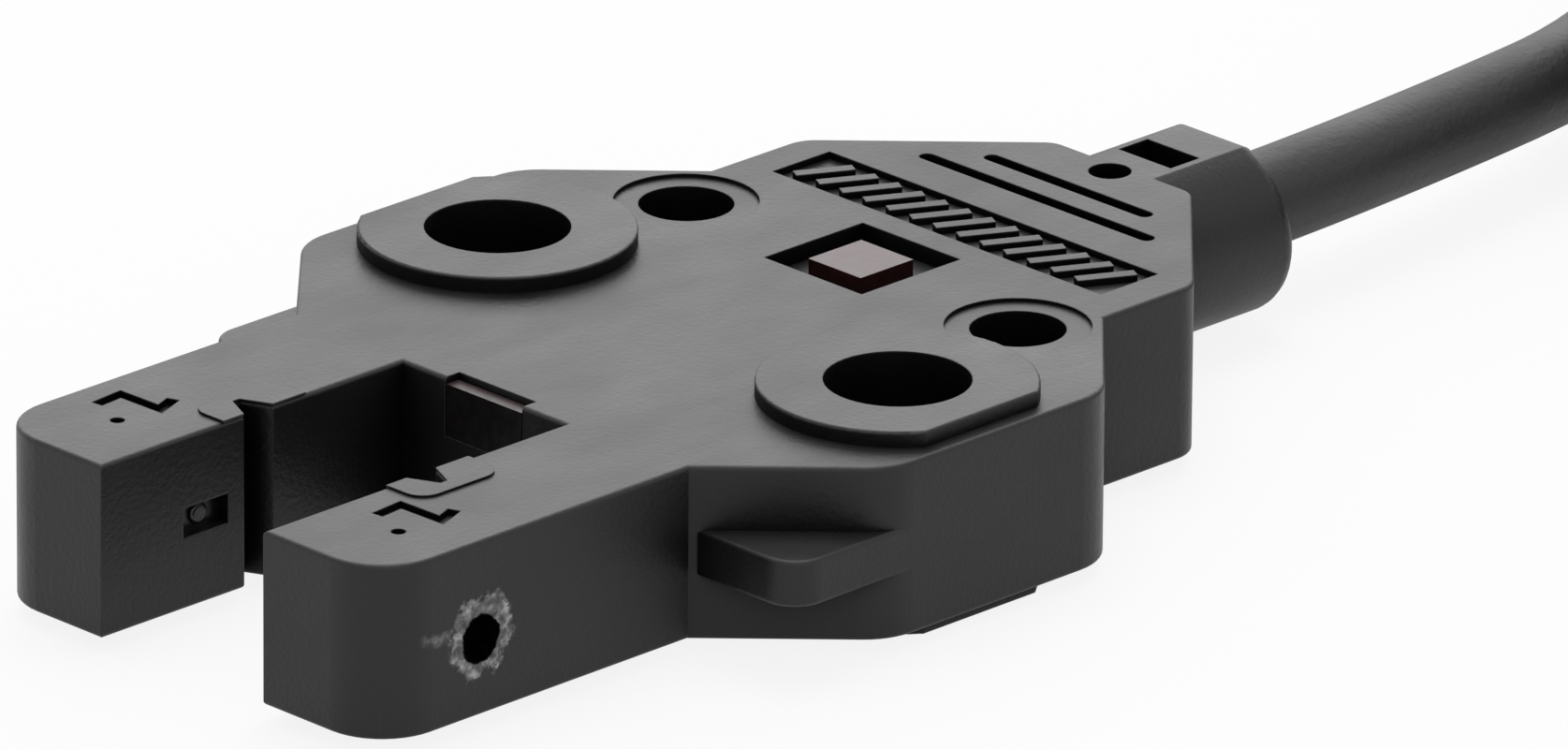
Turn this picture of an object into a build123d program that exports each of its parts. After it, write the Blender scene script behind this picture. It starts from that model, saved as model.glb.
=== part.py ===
"""Photoelectric fork sensor: a small slotted housing with two optical arms, wired by a round cable.

Millimetres. The origin is midway between the two mounting holes, on the plane of the lower bosses that the
sensor is screwed down on. +Z points up along the holes, -Y out of the fork and +Y along the cable.
"""

from build123d import *
from math import atan2, cos, degrees, hypot, pi, radians, sin, tan
import os

os.makedirs("parts", exist_ok=True)


def by_height(size):
    """A size that follows the body's height, given as it is in a body 3.95 high."""
    return size * body_height / 3.95


def by_arm(size):
    """A size that follows an arm's width, given as it is in an arm 3.55 wide."""
    return size * (body_width - slot_width) / 7.1


# Heights of the housing
boss_height = 0.35
body_height = 3.95
z_low = boss_height
z_top = boss_height + body_height
z_mid = boss_height + body_height / 2

# Outline seen from above
slot_width = 5.0
slot_back_y = -6.3
arm_front_y = -15.1
body_width = 12.1
arm_corner_r = 1.5
ear_width = 18.2
ear_front_y = -6.1
ear_rear_y = 6.35
ear_corner_r = 1.5
shoulder_y = 9.1
shoulder_r = 0.9
tail_width = 4.2
tail_r = 0.6
edge_r = 0.1
rear_y = shoulder_y + (body_width - tail_width) / 2

# Groove down the inner face of each arm, and the thin raised pad round it on top
notch_y = -10.53
notch_width = 0.85
notch_depth = by_arm(0.7)
notch_tip = 0.2
pad_width = 1.1
pad_length = 2.4
pad_y = -10.35
pad_r = 0.5
pad_height = 0.05

# Walls, and the ledge that the base cover sits on
wall = by_arm(0.8)
notch_wall = by_arm(0.6)
roof = by_height(0.7)
floor_thickness = by_height(0.7)
ledge = 0.35
cover_gap = 0.04
inner_rear_y = rear_y - wall

# Mounting holes, their bosses and the solid columns round them
mount_pitch = 12.3
mount_hole_d = 3.2
boss_d = 6.1
boss_flat_width = 17.4
boss_edge_r = 0.06
column_d = 7.0

# Two small locating holes
pin_pitch = 10.2
pin_y = 4.68
pin_hole_d = 2.1
pin_ring_d = 3.2
pin_ring_depth = 0.08
pin_column_d = 3.8

# Flange at mid height in front of each ear
flange_front_y = -5.97
flange_back_y = -2.0
flange_rise = by_height(1.45)
flange_thickness = by_height(1.05)
flange_corner_r = 0.8
flange_edge_r = 0.1

# Round cable outlet, clipped to the height of the body, with a leaning end, and the pit on it
outlet_d = 4.4
outlet_length = 3.31
outlet_lean = 7.5
outlet_end_r = 0.45
sheath_gap = 0.05
pit_width = 1.6
pit_length = 0.9
pit_ahead = 1.1
pit_depth = 0.5

# Recesses on top
frame_size = 3.0
frame_y = 5.02
frame_depth = 0.4
label_width = body_width - 2.0
label_length = 1.75
label_y = 8.13
label_depth = 0.16
rib_width = 0.3
rib_length = 1.35
rib_pitch = label_width / 14
rib_slant = -28
rib_count = 13
groove_width = 0.36
groove_depth = 0.25
groove_lengths = (7.1, 5.05)
groove_insets = (2.7, 1.72)
dot_d = 0.95
dot_inset = 0.43
dot_depth = 0.5
mark_width = 0.3
mark_depth = 0.15
mark_dot_d = 0.32
mark_dot_place = (0.45, -1.07)
mark_path = ((-0.53, -0.75), (-0.6, 0), (0.6, 0.03), (0.38, 0.62))
mark_places = ((slot_width / 2 + by_arm(1.53), -12.0), (-slot_width / 2 - by_arm(2.12), -12.0))

# Light guide under the roof, with its post and its strip
guide_width = 1.6
guide_thickness = by_height(0.65)
guide_post_y = 4.98
guide_fit = 0.03
strip_width = 2.3
strip_length = 0.36
strip_gap = 0.05
strip_drop = 0.15

# Optics in the arms
optic_y = -12.07
window_length = 1.3
window_height = by_height(0.68)
window_setback = by_arm(0.3)
window_flange = 0.1
window_flange_thickness = by_arm(0.25)
lens_d = by_height(0.5)
lens_rise = by_arm(0.12)
package_gap = by_arm(0.3)
package_depth = by_arm(1.25)
package_length = 1.6
package_height = by_height(1.9)
dome_d = by_height(1.1)
dome_rise = by_arm(0.25)
lead_size = by_arm(0.25)
lead_on_board = 0.7
emitter_lead_places = (by_arm(-0.35), by_arm(0.35))
receiver_lead_places = (by_arm(-0.4), 0, by_arm(0.4))
side_pit_d = 1.0
side_pit_depth = by_arm(0.5)
side_pit_y = -12.17
side_pit_drop = 0.22

# Circuit board and the posts it rests on
board_rise = by_height(0.7)
board_thickness = by_height(0.6)
board_gap = 0.15
board_front_y = -9.3
board_rear_gap = 2.35
board_rear_y = inner_rear_y - board_rear_gap
board_post_d = 0.9
arm_post_x = slot_width / 2 + by_arm(1.8)
rear_post_inset = 2.0
rear_post_y = board_rear_y - rear_post_inset
board_post_places = (
    (arm_post_x, -7.4),
    (-arm_post_x, -7.4),
    (0, -4.4),
    (0, 1.5),
    (3.4, rear_post_y),
    (-3.4, rear_post_y),
)

# Pieces on the board
chip_size = (2.0, 1.3, by_height(0.9))
chip_place = (2.6, -4.25)
chip_foot_places = (-0.65, 0, 0.65)
chip_edge = 0.1
transistor_size = (1.7, 1.2, by_height(0.9))
transistor_place = (-2.6, -4.25)
foot_size = (0.3, 0.4, 0.15)
resistor_size = (1.0, 0.5, 0.35)
rear_chip_inset = 2.6
rear_chip_y = board_rear_y - rear_chip_inset
resistor_places = (
    (1.75, -1.9),
    (1.75, -0.9),
    (1.75, 0.1),
    (1.75, 1.1),
    (-2.6, rear_chip_y),
    (-1.2, rear_chip_y),
)
capacitor_size = (1.2, 0.7, by_height(0.6))
capacitor_places = ((-1.75, -1.7), (-1.75, -0.4), (1.3, rear_chip_y), (3.0, rear_chip_y))
end_cap_length = 0.2
end_cap_rise = 0.03
indicator_base = (1.6, 0.8, by_height(0.2))
indicator_lens = (1.0, 0.7, by_height(0.3))

# Cable, its four cores inside the housing and the band that holds the sheath
sheath_d = 2.2
core_d = 0.6
core_spread = 0.38
core_lift = 0.02
core_straight = 0.5
core_land_reach = 0.35
solder_pitch = 1.05
solder_inset = 0.6
solder_rear_y = board_rear_y - solder_inset
core_land_y = board_rear_y + core_land_reach
solder_size = (0.7, 0.8, 0.62)
solder_r = 0.12
crimp_setback = 0.1
crimp_length = 0.45
crimp_thickness = 0.12
crimp_gap = 0.03
sheath_start_y = inner_rear_y - crimp_length - 2 * crimp_setback
crimp_y = sheath_start_y + crimp_setback

# The cable's route, from inside the outlet down to where its coil begins: how far each point lies behind the
# outlet and to the side, and its share of the cable's fall to the coil
coil_rest = 0.3
cable_fall = z_mid - sheath_d / 2 - coil_rest
cable_reaches = (0.84, 6.44, 11.64, 16.24)
cable_shifts = (0, -0.45, -1.45, -3.35)
cable_fall_shares = (0, 0.027, 0.189, 0.485)
cable_points = (
    (0, sheath_start_y, z_mid),
    *[
        (shift, rear_y + outlet_length + reach, z_mid - share * cable_fall)
        for shift, reach, share in zip(cable_shifts, cable_reaches, cable_fall_shares)
    ],
)

# Coil of the put-away length, and its tie
coil_r = 13.1
coil_columns = 4
coil_rows = 3
coil_slack = 0.05
coil_edge_r = 0.9
lead_in = 8.6
lead_out = 6.0
lead_out_turn = 42
lead_out_angle = 200
tie_angle = -60
tie_width = 2.0
tie_thickness = 0.25
tie_slack = 0.1
tie_head = (2.4, 1.6, 1.0)
tie_head_r = 0.3

# Stripped wire ends, which lie inside the coil
wire_names = ("brown", "black", "blue", "pink")
core_corners = ((-1, -1), (-1, 1), (1, 1), (1, -1))
wire_end_radii = (6.3, 5.5, 7.9, 7.1)
wire_straight = 1.8
wire_step = 3.4
wire_steps = 7
wire_move_steps = 2
wire_fall_steps = {-1: 2, 1: 4}
wire_lift = 0.02
tin_d = 0.36
tin_length = 4.0
tin_straight = 1.2

# Places that follow from the sizes above
sides = (-1, 1)
slot_x = slot_width / 2
arm_x = body_width / 2
ear_x = ear_width / 2
tail_x = tail_width / 2
mount_x = mount_pitch / 2
pin_x = pin_pitch / 2
ear_reach = ear_x - arm_x
outlet_y = rear_y + outlet_length
outlet_end_way = (0, cos(radians(outlet_lean)), sin(radians(outlet_lean)))
outlet_end = Plane(origin=(0, outlet_y, z_mid), z_dir=outlet_end_way)
outlet_lean_reach = outlet_d / 2 * tan(radians(outlet_lean))
z_ceiling = z_top - roof
z_floor = z_low + floor_thickness
z_flange = z_low + flange_rise
z_board = z_floor + board_rise + board_thickness
inner_x = slot_x + wall
outer_x = arm_x - wall
notch_rib_x = slot_x + notch_depth + notch_wall
lead_x = (notch_rib_x + outer_x) / 2
package_x = inner_x + window_flange_thickness + package_gap
package_rear_y = optic_y + package_length / 2
coil_bundle = coil_columns * sheath_d + 2 * coil_slack
coil_height = coil_rows * sheath_d + 2 * coil_slack
turn_r = coil_r + (coil_columns - 1) * sheath_d / 2
last_turn_r = coil_r - (coil_columns - 1) * sheath_d / 2


def corners(sketch, x, y):
    """The corners of a sketch at (x, y) and at (-x, y)."""
    return sketch.vertices().filter_by(lambda v: hypot(abs(v.X) - x, v.Y - y) < 0.01)


def notch_outline(side, grow=0.0):
    """The four points of an arm's groove, from its mouth in and out again, grown by a wall."""
    mouth = notch_width / 2 + grow
    tip = notch_tip / 2 + grow / 2
    tip_x = side * (slot_x + notch_depth + grow)
    return (
        (side * slot_x, notch_y + mouth),
        (tip_x, notch_y + tip),
        (tip_x, notch_y - tip),
        (side * slot_x, notch_y - mouth),
    )


def housing_profile(sketch):
    """Draws the housing's outline: both arms, both ears, the shoulders and the grooves of the arms."""
    half = (
        (0, slot_back_y),
        (slot_x, slot_back_y),
        *notch_outline(1),
        (slot_x, arm_front_y),
        (arm_x, arm_front_y),
        (arm_x, ear_front_y),
        (ear_x, ear_front_y + ear_reach),
        (ear_x, ear_rear_y - ear_reach),
        (arm_x, ear_rear_y),
        (arm_x, shoulder_y),
        (tail_x, rear_y),
        (0, rear_y),
    )
    with BuildLine() as outline:
        Polyline(*half, close=True)
    make_face(outline.edges())
    mirror(about=Plane.YZ)
    fillet(corners(sketch, arm_x, arm_front_y), arm_corner_r)
    fillet(corners(sketch, ear_x, ear_front_y + ear_reach), ear_corner_r)
    fillet(corners(sketch, ear_x, ear_rear_y - ear_reach), ear_corner_r)
    fillet(corners(sketch, arm_x, shoulder_y), shoulder_r)
    fillet(corners(sketch, tail_x, rear_y), tail_r)


def hollow_profile(grow):
    """Draws the hollow inside the housing, made larger all round by grow."""
    slant = (wall - grow) * tan(radians(22.5))
    half = (
        (0, slot_back_y + wall - grow),
        (inner_x - grow, slot_back_y + wall - grow),
        (inner_x - grow, arm_front_y + wall - grow),
        (outer_x + grow, arm_front_y + wall - grow),
        (outer_x + grow, shoulder_y - slant),
        (tail_x - slant, rear_y - wall + grow),
        (0, rear_y - wall + grow),
    )
    with BuildLine() as outline:
        Polyline(*half, close=True)
    make_face(outline.edges())
    mirror(about=Plane.YZ)
    with Locations((-mount_x, 0), (mount_x, 0)):
        Circle(column_d / 2 - grow, mode=Mode.SUBTRACT)
    with Locations((-pin_x, pin_y), (pin_x, pin_y)):
        Circle(pin_column_d / 2 - grow, mode=Mode.SUBTRACT)
    for side in sides:
        with BuildLine() as rib:
            Polyline(*notch_outline(side, notch_wall - grow), close=True)
        make_face(rib.edges(), mode=Mode.SUBTRACT)


def bend_radii(points):
    """The bend at each corner of a route: 0.45 of the shorter run over the tangent of half the turn."""
    spots = [Vector(*p) for p in points]
    runs = [b - a for a, b in zip(spots, spots[1:])]
    return [
        0.45 * min(a.length, b.length) / tan(radians(a.get_angle(b)) / 2)
        for a, b in zip(runs, runs[1:])
    ]


def wire(points, diameter):
    """Sweeps a round wire along straight runs joined by arcs, and gives its length."""
    with BuildLine() as route:
        FilletPolyline(*points, radius=bend_radii(points))
    path = route.wire()
    with BuildSketch(Plane(origin=path @ 0, z_dir=path % 0)) as section:
        Circle(diameter / 2)
    sweep(section.sketch.faces(), path=path)
    return path.length


def crimp_seat():
    """Clears the room of the crimp band and of the sheath's end, where roof and cover come near them."""
    length = inner_rear_y - sheath_start_y + crimp_gap
    with BuildSketch(Plane.XZ.offset(-inner_rear_y)) as seat:
        with Locations((0, z_mid)):
            Circle(sheath_d / 2 + crimp_thickness + crimp_gap)
    extrude(seat.sketch.faces(), amount=length, mode=Mode.SUBTRACT)


# Case

with BuildPart() as case:
    # Flanges of the ears
    with BuildSketch(Plane.XY.offset(z_flange)) as flanges:
        for side in sides:
            with Locations((side * (arm_x - wall / 2 + ear_x) / 2, (flange_front_y + flange_back_y) / 2)):
                Rectangle(ear_x - arm_x + wall / 2, flange_back_y - flange_front_y)
        fillet(corners(flanges, ear_x, flange_front_y), flange_corner_r)
    extrude(amount=flange_thickness)
    fillet(case.faces().filter_by(Plane.XY).edges(), flange_edge_r)

    # Body and cable outlet
    with BuildSketch(Plane.XY.offset(z_low)) as outline:
        housing_profile(outline)
    extrude(amount=body_height)
    fillet(case.faces().sort_by(Axis.Z)[-1].outer_wire().edges(), edge_r)
    fillet(case.faces().sort_by(Axis.Z)[0].outer_wire().edges(), edge_r)
    with BuildSketch(Plane.XZ.offset(wall / 2 - rear_y)):
        with Locations((0, z_mid)):
            Circle(outlet_d / 2)
            Rectangle(outlet_d, body_height, mode=Mode.INTERSECT)
    extrude(amount=-outlet_length - wall / 2 - outlet_lean_reach)
    with BuildSketch(outlet_end):
        Rectangle(2 * outlet_d, 2 * outlet_d)
    extrude(amount=outlet_length, mode=Mode.SUBTRACT)
    fillet(case.faces().sort_by(Axis.Y)[-1].edges(), outlet_end_r)

    # Raised pads round the grooves
    with BuildSketch(Plane.XY.offset(z_top)):
        for side in sides:
            with Locations((side * slot_x, pad_y)):
                RectangleRounded(2 * pad_width, pad_length, pad_r)
        with Locations((0, pad_y)):
            Rectangle(slot_width, pad_length, mode=Mode.SUBTRACT)
        for side in sides:
            with BuildLine():
                Polyline(*notch_outline(side), close=True)
            make_face(mode=Mode.SUBTRACT)
    extrude(amount=pad_height)

    # Bosses above and below
    for z in (0, z_top):
        with BuildSketch(Plane.XY.offset(z)):
            with Locations((-mount_x, 0), (mount_x, 0)):
                Circle(boss_d / 2)
            Rectangle(boss_flat_width, boss_d, mode=Mode.INTERSECT)
        extrude(amount=boss_height)
    boss_faces = case.faces().filter_by(Plane.XY).sort_by(Axis.Z)
    fillet(boss_faces[-2:].edges() + boss_faces[:2].edges(), boss_edge_r)

    # Hollow for the board and the optics, open below, with the ledge for the base cover
    with BuildSketch(Plane.XY.offset(z_low)):
        hollow_profile(0)
    extrude(amount=body_height - roof, mode=Mode.SUBTRACT)
    with BuildSketch(Plane.XY.offset(z_low)):
        hollow_profile(ledge)
    extrude(amount=floor_thickness, mode=Mode.SUBTRACT)

    # Mounting holes and locating holes
    with Locations((-mount_x, 0, z_top + boss_height), (mount_x, 0, z_top + boss_height)):
        Hole(mount_hole_d / 2, depth=z_top + boss_height)
    with Locations((-pin_x, pin_y, z_top), (pin_x, pin_y, z_top)):
        Hole(pin_hole_d / 2, depth=body_height)
        Hole(pin_ring_d / 2, depth=pin_ring_depth)

    # Cable bore and the pit on the outlet
    with Locations(Plane(origin=(0, outlet_y + outlet_lean_reach, z_mid), z_dir=(0, 1, 0))):
        Hole(sheath_d / 2 + sheath_gap, depth=outlet_lean_reach + outlet_length + wall)
    crimp_seat()
    with BuildSketch(Plane.XY.offset(z_top)):
        with Locations((0, rear_y + pit_ahead)):
            Rectangle(pit_width, pit_length)
    extrude(amount=-pit_depth, mode=Mode.SUBTRACT)

    # Square recess of the indicator, and the openings for the guide's post and strip
    with BuildSketch(Plane.XY.offset(z_top)):
        with Locations((0, frame_y)):
            Rectangle(frame_size, frame_size)
    extrude(amount=-frame_depth, mode=Mode.SUBTRACT)
    with BuildSketch(Plane.XY.offset(z_top)):
        with Locations((0, guide_post_y)):
            Rectangle(guide_width + 2 * guide_fit, guide_width + 2 * guide_fit)
    extrude(amount=-roof, mode=Mode.SUBTRACT)
    with BuildSketch(Plane.XY.offset(z_top)):
        with Locations((0, slot_back_y)):
            Rectangle(strip_width + 2 * guide_fit, 2 * (strip_length + strip_gap))
    extrude(amount=-roof - guide_thickness, mode=Mode.SUBTRACT)
    with BuildSketch(Plane.XY.offset(z_ceiling)):
        with Locations((0, slot_back_y + wall / 2)):
            Rectangle(guide_width + 2 * guide_fit, 2 * wall)
    extrude(amount=-guide_thickness, mode=Mode.SUBTRACT)

    # Plate with slanted ribs, grooves and dot pit behind the indicator
    with BuildSketch(Plane.XY.offset(z_top)):
        with Locations((0, label_y)):
            Rectangle(label_width, label_length)
            with GridLocations(rib_pitch, 0, rib_count, 1):
                Rectangle(rib_width, rib_length, rotation=rib_slant, mode=Mode.SUBTRACT)
    extrude(amount=-label_depth, mode=Mode.SUBTRACT)
    with BuildSketch(Plane.XY.offset(z_top)):
        for length, inset in zip(groove_lengths, groove_insets):
            with Locations((0, rear_y - inset)):
                SlotOverall(length, groove_width)
    extrude(amount=-groove_depth, mode=Mode.SUBTRACT)
    with Locations((0, rear_y - dot_inset, z_top)):
        Hole(dot_d / 2, depth=dot_depth)

    # Stepped axis mark and dot on each arm
    with BuildSketch(Plane.XY.offset(z_top)):
        for x, y in mark_places:
            with BuildLine() as mark:
                Polyline(*[(x + a, y + b) for a, b in mark_path])
            trace(line_width=mark_width)
            with Locations((x + mark_dot_place[0], y + mark_dot_place[1])):
                Circle(mark_dot_d / 2)
    extrude(amount=-mark_depth, mode=Mode.SUBTRACT)

    # Optical openings through the inner walls, and the blind pit outside the near arm
    with Locations((-slot_x - wall / 2, optic_y, z_mid), (slot_x + wall / 2, optic_y, z_mid)):
        Box(wall, window_length, window_height, mode=Mode.SUBTRACT)
    with Locations(Plane(origin=(arm_x, side_pit_y, z_mid - side_pit_drop), z_dir=(1, 0, 0))):
        Hole(side_pit_d / 2, depth=side_pit_depth)

case.part.label = "case"
export_step(case.part, "parts/case.step")

# Base cover, flush with the underside, with the posts that carry the board

with BuildPart() as base_cover:
    with BuildSketch(Plane.XY.offset(z_low)):
        hollow_profile(ledge - cover_gap)
    extrude(amount=floor_thickness)
    with BuildSketch(Plane.XY.offset(z_floor)):
        with Locations(*board_post_places):
            Circle(board_post_d / 2)
    extrude(amount=board_rise)
    crimp_seat()

base_cover.part.label = "base_cover"
export_step(base_cover.part, "parts/base_cover.step")

# Light guide: a flat bar under the roof, the square post behind and the strip in the slot's edge in front

with BuildPart() as light_guide:
    guide_rear_y = guide_post_y + guide_width / 2
    with BuildSketch(Plane.XY.offset(z_ceiling - guide_thickness)):
        with Locations((0, (slot_back_y + guide_rear_y) / 2)):
            Rectangle(guide_width, guide_rear_y - slot_back_y)
        with Locations((0, slot_back_y + strip_length / 2)):
            Rectangle(strip_width, strip_length)
    extrude(amount=guide_thickness)
    with BuildSketch(Plane.XY.offset(z_ceiling)):
        with Locations((0, guide_post_y)):
            Rectangle(guide_width, guide_width)
    extrude(amount=roof)
    with BuildSketch(Plane.XY.offset(z_ceiling)):
        with Locations((0, slot_back_y + strip_length / 2)):
            Rectangle(strip_width, strip_length)
    extrude(amount=roof - strip_drop)

light_guide.part.label = "light_guide"
export_step(light_guide.part, "parts/light_guide.step")

# Optics: a window with a small lens, a domed package behind it and the package's leads, in each arm

for name, side, lead_places in (
    ("emitter", 1, emitter_lead_places),
    ("receiver", -1, receiver_lead_places),
):
    with BuildPart() as window:
        with Locations((side * (slot_x + (window_setback + wall) / 2), optic_y, z_mid)):
            Box(wall - window_setback, window_length, window_height)
        with Locations((side * (inner_x + window_flange_thickness / 2), optic_y, z_mid)):
            Box(
                window_flange_thickness,
                window_length + 2 * window_flange,
                window_height + 2 * window_flange,
            )
        lens_x = side * (slot_x + window_setback)
        with BuildSketch(Plane(origin=(lens_x, optic_y, z_mid), z_dir=(-side, 0, 0))):
            Circle(lens_d / 2)
        extrude(amount=lens_rise)
        fillet(window.edges().group_by(Axis.X)[0 if side > 0 else -1], lens_rise * 0.8)
    window.part.label = name + "_window"
    export_step(window.part, "parts/" + name + "_window.step")

    with BuildPart() as package:
        with Locations((side * (package_x + package_depth / 2), optic_y, z_mid)):
            Box(package_depth, package_length, package_height)
        with BuildSketch(Plane(origin=(side * package_x, optic_y, z_mid), z_dir=(-side, 0, 0))):
            Circle(dome_d / 2)
        extrude(amount=dome_rise)
        fillet(package.edges().group_by(Axis.X)[0 if side > 0 else -1], dome_rise * 0.8)
    package.part.label = name + "_package"
    export_step(package.part, "parts/" + name + "_package.step")

    with BuildPart() as leads:
        lead_length = board_front_y + lead_on_board - package_rear_y
        lead_y = package_rear_y + lead_length / 2
        for place in lead_places:
            with Locations((side * (lead_x + place), lead_y, z_board + lead_size / 2)):
                Box(lead_size, lead_length, lead_size)
    leads.part.label = name + "_leads"
    export_step(leads.part, "parts/" + name + "_leads.step")

# Circuit board, shaped like the hollow, and the pieces on it

with BuildPart() as circuit_board:
    with BuildSketch(Plane.XY.offset(z_board - board_thickness)):
        hollow_profile(-board_gap)
        with Locations((0, (board_front_y + board_rear_y) / 2)):
            Rectangle(body_width, board_rear_y - board_front_y, mode=Mode.INTERSECT)
    extrude(amount=board_thickness)

circuit_board.part.label = "circuit_board"
export_step(circuit_board.part, "parts/circuit_board.step")

for name, place, size in (
    ("control_chip", chip_place, chip_size),
    ("output_transistor", transistor_place, transistor_size),
):
    with BuildPart() as chip:
        with Locations((place[0], place[1], z_board + size[2] / 2)):
            Box(*size)
        chamfer(chip.faces().sort_by(Axis.Z)[-1].edges(), chip_edge)
        foot_reach = (size[1] + foot_size[1]) / 2
        for foot_x in chip_foot_places:
            for end in sides:
                with Locations((place[0] + foot_x, place[1] + end * foot_reach, z_board + foot_size[2] / 2)):
                    Box(*foot_size)
    chip.part.label = name
    export_step(chip.part, "parts/" + name + ".step")

with BuildPart() as indicator_led:
    for size, z in ((indicator_base, z_board), (indicator_lens, z_board + indicator_base[2])):
        with Locations((0, guide_post_y, z + size[2] / 2)):
            Box(*size)

indicator_led.part.label = "indicator_led"
export_step(indicator_led.part, "parts/indicator_led.step")

for name, size, places in (
    ("chip_resistors", resistor_size, resistor_places),
    ("chip_capacitors", capacitor_size, capacitor_places),
):
    with BuildPart() as chips:
        for x, y in places:
            with Locations((x, y, z_board + size[2] / 2)):
                Box(*size)
            cap_height = size[2] + end_cap_rise
            for end in sides:
                with Locations((x + end * (size[0] - end_cap_length) / 2, y, z_board + cap_height / 2)):
                    Box(end_cap_length, size[1] + 2 * end_cap_rise, cap_height)
    chips.part.label = name
    export_step(chips.part, "parts/" + name + ".step")

solder_places = [(i - 1.5) * solder_pitch for i in range(len(wire_names))]
with BuildPart() as solder_joints:
    for x in solder_places:
        with Locations((x, solder_rear_y - solder_size[1] / 2, z_board + solder_size[2] / 2)):
            Box(*solder_size)
    fillet(solder_joints.edges().filter_by(Axis.Z), solder_r)

solder_joints.part.label = "solder_joints"
export_step(solder_joints.part, "parts/solder_joints.step")

# Crimp band on the sheath's end, and the four cores from there to their solder joints

with BuildPart() as cable_crimp:
    with BuildSketch(Plane.XZ.offset(-crimp_y)):
        with Locations((0, z_mid)):
            Circle(sheath_d / 2 + crimp_thickness)
            Circle(sheath_d / 2, mode=Mode.SUBTRACT)
    extrude(amount=-crimp_length)

cable_crimp.part.label = "cable_crimp"
export_step(cable_crimp.part, "parts/cable_crimp.step")

core_z = z_board + core_d / 2 + core_lift
for name, solder_x, corner in zip(wire_names, solder_places, core_corners):
    start_x = corner[0] * core_spread
    start_z = z_mid + corner[1] * core_spread
    with BuildPart() as core:
        wire(
            (
                (start_x, sheath_start_y, start_z),
                (start_x, sheath_start_y - core_straight, start_z),
                (solder_x, core_land_y, core_z),
                (solder_x, solder_rear_y, core_z),
            ),
            core_d,
        )
    core.part.label = name + "_core"
    export_step(core.part, "parts/" + name + "_core.step")

# Cable: the sheath from inside the case to its coil

with BuildPart() as cable:
    cable_length = wire(cable_points, sheath_d)

cable.part.label = "cable"
export_step(cable.part, "parts/cable.step")
print("cable: arc radii", [round(r, 1) for r in bend_radii(cable_points)])
print("cable: volume", round(cable.part.volume, 2))
print("cable: section x length", round(pi * sheath_d**2 / 4 * cable_length, 2))

# Coil: the outer shape of its turns, the sheath that leads in to its first turn and out of its last one

last_run = Vector(*cable_points[-1]) - Vector(*cable_points[-2])
way_in = last_run * (lead_in / hypot(last_run.X, last_run.Y))
coil_entry = Vector(*cable_points[-1]) + way_in
heading = Vector(way_in.X, way_in.Y, 0).normalized()
coil_centre = coil_entry + heading.rotate(Axis.Z, -90) * turn_r
coil_z = coil_entry.Z - sheath_d / 2 - coil_slack


def coil_spot(radius, angle, z):
    """A place in the coil, by its distance from the coil's axis, its angle in degrees and its height."""
    return coil_centre.X + radius * cos(radians(angle)), coil_centre.Y + radius * sin(radians(angle)), z


sheath_leave = Vector(*coil_spot(last_turn_r, lead_out_angle, coil_entry.Z))
last_way = Vector(sin(radians(lead_out_angle)), -cos(radians(lead_out_angle)), 0)
way_out = last_way.rotate(Axis.Z, -lead_out_turn)
sheath_end = sheath_leave + way_out * lead_out

with BuildPart() as cable_coil:
    with BuildSketch(Plane(origin=(coil_centre.X, coil_centre.Y, coil_z))):
        Circle(coil_r + coil_bundle / 2)
        Circle(coil_r - coil_bundle / 2, mode=Mode.SUBTRACT)
    extrude(amount=coil_height)
    fillet(cable_coil.edges(), coil_edge_r)
    with BuildSketch(Plane(origin=cable_points[-1], z_dir=way_in)):
        Circle(sheath_d / 2)
    extrude(amount=way_in.length)
    with BuildSketch(Plane(origin=sheath_leave, z_dir=way_out)):
        Circle(sheath_d / 2)
    extrude(amount=lead_out)

cable_coil.part.label = "cable_coil"
export_step(cable_coil.part, "parts/cable_coil.step")

# Tie round the coil

with BuildPart() as coil_tie:
    tie_middle = Vector(*coil_spot(coil_r, tie_angle, coil_z + coil_height / 2))
    out_from_axis = Vector(cos(radians(tie_angle)), sin(radians(tie_angle)), 0)
    along_turns = Vector(-sin(radians(tie_angle)), cos(radians(tie_angle)), 0)
    with BuildSketch(Plane(origin=tie_middle, x_dir=out_from_axis, z_dir=along_turns)):
        Rectangle(coil_bundle + 2 * (tie_slack + tie_thickness), coil_height + 2 * tie_thickness)
        Rectangle(coil_bundle + 2 * tie_slack, coil_height, mode=Mode.SUBTRACT)
    extrude(amount=tie_width / 2, both=True)
    head_seat = tie_middle + out_from_axis * (coil_bundle / 2 + tie_slack + tie_thickness)
    with BuildSketch(Plane(origin=head_seat, x_dir=along_turns, z_dir=out_from_axis)):
        RectangleRounded(tie_head[0], tie_head[1], tie_head_r)
    extrude(amount=tie_head[2])

coil_tie.part.label = "coil_tie"
export_step(coil_tie.part, "parts/coil_tie.step")

# Stripped wire ends, which curl inside the coil and come down to the floor, with their tinned tips


def coil_polar(spot):
    """The distance of a place from the coil's axis, and its angle in degrees."""
    away = spot - coil_centre
    return hypot(away.X, away.Y), degrees(atan2(away.Y, away.X))


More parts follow.
